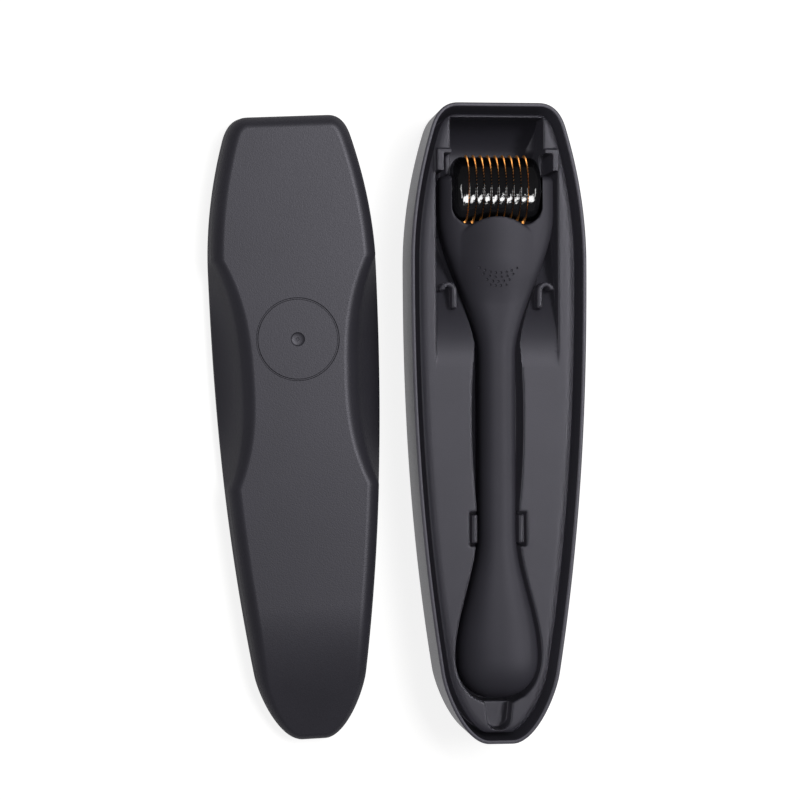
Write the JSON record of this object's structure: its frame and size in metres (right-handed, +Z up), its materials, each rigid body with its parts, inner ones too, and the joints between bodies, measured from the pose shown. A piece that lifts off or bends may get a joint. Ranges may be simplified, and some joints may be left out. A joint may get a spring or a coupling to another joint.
{
  "type": "derma roller",
  "caption": "Needle roller for skin care with a turning drum of gold toothed discs, lying in a moulded black case tray with its scooped lid set down beside it.",
  "frame": {"origin": "centre of the tray's base, on the table", "axes": "+Z up out of the tray, +Y toward the roller's head, +X to the right with the head away from the viewer; the lid lies on the -X side"},
  "size_m": [0.0971, 0.1657, 0.0249],
  "materials": {
    "case_plastic": "fine spark texture, satin",
    "liner_plastic": "fine spark texture, satin",
    "handle_plastic": "smooth matte",
    "drum_plastic": "polished",
    "needle_gold": "gold coating",
    "axle_steel": "drawn"
  },
  "bodies": {
    "tray": {"tray_shell": "case_plastic", "tray_liner": "liner_plastic"},
    "lid": {"lid_shell": "case_plastic"},
    "roller": {"handle_front": "handle_plastic", "handle_back": "handle_plastic", "axle_pin": "axle_steel"},
    "drum": {"drum_hub": "drum_plastic", "needle_disc_1": "needle_gold", "needle_disc_2": "needle_gold", "needle_disc_3": "needle_gold", "needle_disc_4": "needle_gold", "needle_disc_5": "needle_gold", "needle_disc_6": "needle_gold", "needle_disc_7": "needle_gold", "needle_disc_8": "needle_gold", "needle_disc_9": "needle_gold", "spacer_ring_1": "drum_plastic", "spacer_ring_2": "drum_plastic", "spacer_ring_3": "drum_plastic", "spacer_ring_4": "drum_plastic", "spacer_ring_5": "drum_plastic", "spacer_ring_6": "drum_plastic", "spacer_ring_7": "drum_plastic", "spacer_ring_8": "drum_plastic", "end_cap_left": "drum_plastic", "end_cap_right": "drum_plastic"}
  },
  "joints": [
    {"name": "lid_lift", "type": "slide", "parent": "tray", "child": "lid", "axis": [0, 0, 1], "range_m": [0, 0.06]},
    {"name": "roller_lift", "type": "slide", "parent": "tray", "child": "roller", "axis": [0, 0, 1], "range_m": [0, 0.06]},
    {"name": "drum_spin", "type": "hinge", "parent": "roller", "child": "drum", "pos_m": [0, 0.06095, 0.016], "axis": [1, 0, 0], "continuous": true}
  ]
}
